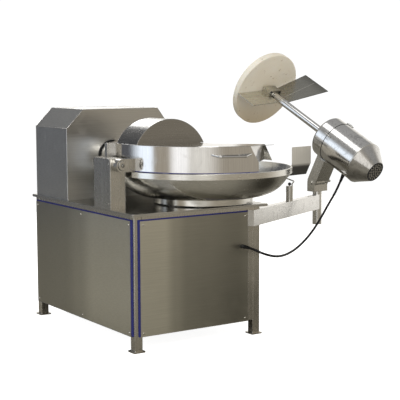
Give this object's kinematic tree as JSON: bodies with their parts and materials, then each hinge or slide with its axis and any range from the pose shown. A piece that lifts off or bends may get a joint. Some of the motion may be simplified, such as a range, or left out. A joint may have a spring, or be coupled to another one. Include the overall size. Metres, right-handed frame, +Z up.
{
  "type": "meat bowl cutter",
  "caption": "Bowl cutter with turning ring bowl, belt-driven knives under a hinged lid, and a swinging, tilting disc unit that empties the bowl.",
  "frame": {"origin": "middle of the underside of the front left foot plate, on the floor", "axes": "+X along the cabinet's front towards the discharge arm, +Y back towards the belt hood, +Z up"},
  "size_m": [1.9389, 1.5667, 1.6793],
  "materials": {
    "stainless_brushed": "satin brushed stainless steel",
    "stainless_tube": "satin brushed stainless tube",
    "stainless_panel": "brushed stainless sheet",
    "stainless_polished": "mirror-polished stainless steel",
    "stainless_hood": "brushed stainless sheet with dark reflections",
    "stainless_bowl": "fine-turned stainless steel, satin",
    "blue_rubber": "matt blue food-grade rubber",
    "black_rubber": "matt black rubber",
    "black_plastic": "matt black plastic",
    "ivory_nylon": "ivory cast nylon, satin",
    "painted_drive": "grey painted cast iron",
    "knife_steel": "ground steel"
  },
  "bodies": {
    "cabinet": {"leg_front_left": "stainless_tube", "leg_front_right": "stainless_tube", "leg_back_left": "stainless_tube", "leg_back_right": "stainless_tube", "top_rail_front": "stainless_tube", "top_rail_back": "stainless_tube", "top_rail_left": "stainless_tube", "top_rail_right": "stainless_tube", "low_rail_front": "stainless_tube", "low_rail_back": "stainless_tube", "low_rail_left": "stainless_tube", "low_rail_right": "stainless_tube", "front_stile": "stainless_tube", "table_top": "stainless_brushed", "panel_front": "stainless_panel", "panel_left": "stainless_panel", "panel_right": "stainless_panel", "panel_back": "stainless_panel", "seal_front": "blue_rubber", "seal_left": "blue_rubber", "belt_hood": "stainless_hood", "lid_pedestal": "stainless_brushed", "hinge_pin": "stainless_brushed", "spindle_housing": "stainless_brushed", "housing_seal": "black_rubber", "main_motor": "painted_drive", "motor_plate": "stainless_brushed", "drive_belt": "black_rubber", "bowl_bearing": "stainless_brushed", "bowl_gearbox": "painted_drive", "bowl_gear_motor": "painted_drive", "discharge_arm": "stainless_brushed", "stop_tube": "stainless_brushed", "hook_rod": "stainless_brushed", "discharge_chute": "stainless_brushed", "cabinet_gland": "black_plastic", "motor_cable": "black_rubber"},
    "spindle": {"knife_spindle": "knife_steel", "spindle_pulley": "painted_drive", "knife_1": "knife_steel", "knife_2": "knife_steel", "knife_3": "knife_steel"},
    "motor_rotor": {"motor_pulley": "painted_drive"},
    "bowl": {"bowl": "stainless_bowl", "bowl_foot_ring": "stainless_bowl", "bowl_shaft": "stainless_brushed"},
    "lid": {"lid_cover": "stainless_polished", "knife_guard": "stainless_polished", "lid_handle": "stainless_polished", "hinge_block": "stainless_brushed", "lid_seal": "blue_rubber"},
    "post": {"post_head": "stainless_brushed"},
    "discharge_unit": {"tilt_fork": "stainless_brushed", "tilt_pin": "stainless_brushed", "unit_motor": "stainless_polished", "unit_cap": "stainless_polished", "shaft_tube": "stainless_polished", "scraper": "stainless_brushed", "motor_gland": "black_plastic"},
    "disc": {"discharge_disc": "ivory_nylon"}
  },
  "joints": [
    {"name": "bowl_spin", "type": "hinge", "parent": "cabinet", "child": "bowl", "pos_m": [0.607, 0.238, 0.83], "axis": [0, 0, 1], "continuous": true},
    {"name": "motor_spin", "type": "hinge", "parent": "cabinet", "child": "motor_rotor", "pos_m": [0.29202, 1, 0.33], "axis": [0, 1, 0], "continuous": true},
    {"name": "knife_spin", "type": "hinge", "parent": "cabinet", "child": "spindle", "pos_m": [0.29202, 0.2, 1.04], "axis": [0, 1, 0], "continuous": true},
    {"name": "lid_hinge", "type": "hinge", "parent": "cabinet", "child": "lid", "pos_m": [0.0025, 0.2, 1.033], "axis": [0, -1, 0], "range_deg": [0, 80]},
    {"name": "arm_swing", "type": "hinge", "parent": "cabinet", "child": "post", "pos_m": [1.605, 0.379, 0.7], "axis": [0, 0, 1], "range_deg": [0, 90]},
    {"name": "unit_tilt", "type": "hinge", "parent": "post", "child": "discharge_unit", "pos_m": [1.605, 0.379, 0.8305], "axis": [0.991, 0.134, 0], "range_deg": [-29, 0]},
    {"name": "disc_spin", "type": "hinge", "parent": "discharge_unit", "child": "disc", "pos_m": [1.54147, 0.84891, 1.42909], "axis": [-0.1188, 0.879, 0.4617], "continuous": true}
  ],
  "couplings": [
    {"joint": "knife_spin", "follows": "motor_spin", "ratio": 1}
  ]
}
